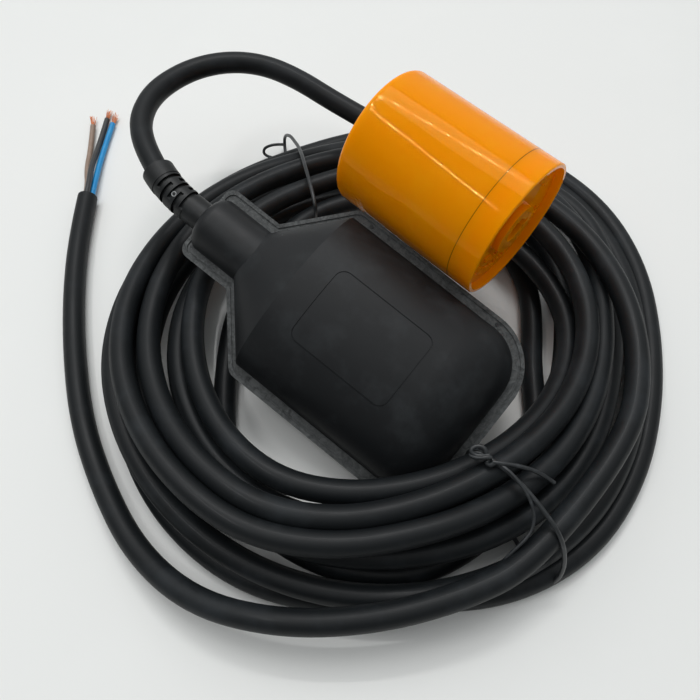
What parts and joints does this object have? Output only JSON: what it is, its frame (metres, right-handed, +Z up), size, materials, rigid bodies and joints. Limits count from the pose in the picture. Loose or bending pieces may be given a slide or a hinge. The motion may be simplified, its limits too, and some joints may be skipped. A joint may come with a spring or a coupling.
{
  "type": "cable float switch",
  "caption": "Cable float switch: a flat hollow float on a coiled three-core cable with bared ends, and a round orange slide-on counterweight.",
  "frame": {"origin": "middle of the base rectangle of the float, strain relief and counterweight as they lie, on the floor", "axes": "+X along the float's length in plan, from the cable towards the round end; +Y towards the counterweight; +Z up"},
  "size_m": [0.3135, 0.2504, 0.0888],
  "materials": {
    "float_shell": "fine matt black moulding, lightly scuffed",
    "cable_jacket": "satin black rubber",
    "relief_rubber": "satin black",
    "seal_rubber": "plain",
    "capsule_plastic": "natural grey moulding",
    "screw_steel": "plated",
    "ball_steel": "polished",
    "switch_plastic": "dark moulding",
    "plunger_plastic": "red moulding",
    "lever_steel": "spring strip",
    "terminal_brass": "stamped",
    "core_brown": "insulation",
    "core_black": "insulation",
    "core_blue": "insulation",
    "copper": "bare copper strands",
    "weight_plastic": "glossy orange-yellow moulding",
    "weight_cement": "cast cement",
    "tie_wire": "plastic-coated wire"
  },
  "bodies": {
    "float": {"cable_coil": "cable_jacket", "cable_inner": "cable_jacket", "cable_loop": "cable_jacket", "cable_tail": "cable_jacket", "capsule_base": "capsule_plastic", "capsule_cover": "capsule_plastic", "capsule_gasket": "seal_rubber", "capsule_screws": "screw_steel", "copper_black": "copper", "copper_blue": "copper", "copper_brown": "copper", "core_black": "core_black", "core_blue": "core_blue", "core_brown": "core_brown", "float_lower_shell": "float_shell", "float_upper_shell": "float_shell", "lead_black": "core_black", "lead_blue": "core_blue", "lead_brown": "core_brown", "lever_pin": "screw_steel", "neck_grommet": "seal_rubber", "strain_relief": "relief_rubber", "switch_case": "switch_plastic", "terminal_black": "terminal_brass", "terminal_blue": "terminal_brass", "terminal_brown": "terminal_brass", "tie_front": "tie_wire", "tie_rear": "tie_wire", "weight_ballast": "weight_cement", "weight_cap": "weight_plastic", "weight_cup": "weight_plastic", "weight_lock_ring": "weight_plastic"},
    "ball": {"steel_ball": "ball_steel"},
    "lever": {"switch_lever": "lever_steel"},
    "plunger": {"switch_plunger": "plunger_plastic"}
  },
  "joints": [
    {"name": "ball_roll", "type": "slide", "parent": "float", "child": "ball", "axis": [-0.9724, 0, 0.2334], "range_m": [0, 0.0236]},
    {"name": "lever_swing", "type": "hinge", "parent": "float", "child": "lever", "pos_m": [0.02328, -0.03826, 0.02675], "axis": [0.2205, -0.3289, 0.9183], "range_deg": [0, 5.42]},
    {"name": "plunger_press", "type": "slide", "parent": "float", "child": "plunger", "axis": [-0.9724, 0, 0.2334], "range_m": [0, 0.00091]}
  ],
  "couplings": [
    {"joint": "lever_swing", "follows": "ball_roll", "rad_per_m": 4.0083},
    {"joint": "plunger_press", "follows": "ball_roll", "ratio": 0.03813}
  ]
}
